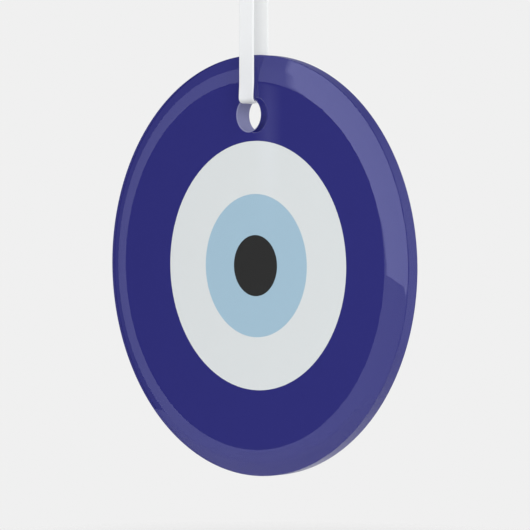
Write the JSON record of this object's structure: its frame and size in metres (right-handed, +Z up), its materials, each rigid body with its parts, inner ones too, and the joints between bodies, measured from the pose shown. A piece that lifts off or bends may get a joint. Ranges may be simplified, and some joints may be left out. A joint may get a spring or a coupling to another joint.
{
  "type": "evil eye ornament",
  "caption": "Round bevelled glass disc with a concentric eye printed on its back, drilled near the rim and hanging on a knotted flat ribbon loop.",
  "frame": {"origin": "centre of the round hook that the ribbon loop hangs on", "axes": "+Z up, the disc faces -Y, +X along the hook, so the disc hangs below the origin in the XZ plane"},
  "size_m": [0.0762, 0.005, 0.1447],
  "materials": {
    "clear_glass": "polished faces and bevel, ground wall in the drilled hole",
    "pupil_ink": "printed ink, seen through the glass",
    "iris_ink": "printed ink, seen through the glass",
    "white_ink": "printed ink, seen through the glass",
    "blue_ink": "printed ink, seen through the glass",
    "backing": "opaque satin coat",
    "ribbon": "woven satin ribbon"
  },
  "bodies": {
    "hanger": {"ribbon_top_bend": "ribbon", "ribbon_knot": "ribbon", "ribbon_tail_left": "ribbon", "ribbon_tail_right": "ribbon"},
    "ribbon_neck": {"front_ribbon_neck": "ribbon", "back_ribbon_neck": "ribbon", "front_ribbon_swing_flex": "ribbon", "back_ribbon_swing_flex": "ribbon"},
    "upper_ribbon": {"front_ribbon_upper": "ribbon", "back_ribbon_upper": "ribbon"},
    "lower_ribbon": {"front_ribbon_lower": "ribbon", "back_ribbon_lower": "ribbon", "front_ribbon_nod_flex": "ribbon", "back_ribbon_nod_flex": "ribbon"},
    "bight": {"ribbon_bight": "ribbon"},
    "disc": {"glass_disc": "clear_glass", "pupil_print": "pupil_ink", "iris_print": "iris_ink", "white_ring_print": "white_ink", "blue_field_print": "blue_ink", "backing_coat": "backing"}
  },
  "joints": [
    {"name": "ribbon_sway", "type": "hinge", "parent": "hanger", "child": "ribbon_neck", "pos_m": [0, 0, -0.0014], "axis": [0, 1, 0], "range_deg": [-20, 20]},
    {"name": "ribbon_swing", "type": "hinge", "parent": "ribbon_neck", "child": "upper_ribbon", "pos_m": [0, 0, -0.008], "axis": [1, 0, 0], "range_deg": [-45, 45], "deforming": ["front_ribbon_swing_flex", "back_ribbon_swing_flex"]},
    {"name": "ribbon_twist", "type": "hinge", "parent": "upper_ribbon", "child": "lower_ribbon", "pos_m": [0, 0, -0.03], "axis": [0, 0, 1], "range_deg": [-180, 180]},
    {"name": "disc_nod", "type": "hinge", "parent": "lower_ribbon", "child": "bight", "pos_m": [0, 0, -0.0491], "axis": [1, 0, 0], "range_deg": [-35, 35], "deforming": ["front_ribbon_nod_flex", "back_ribbon_nod_flex"]},
    {"name": "disc_roll", "type": "hinge", "parent": "bight", "child": "disc", "pos_m": [0, 0, -0.066], "axis": [0, 1, 0], "range_deg": [-60, 60]}
  ]
}
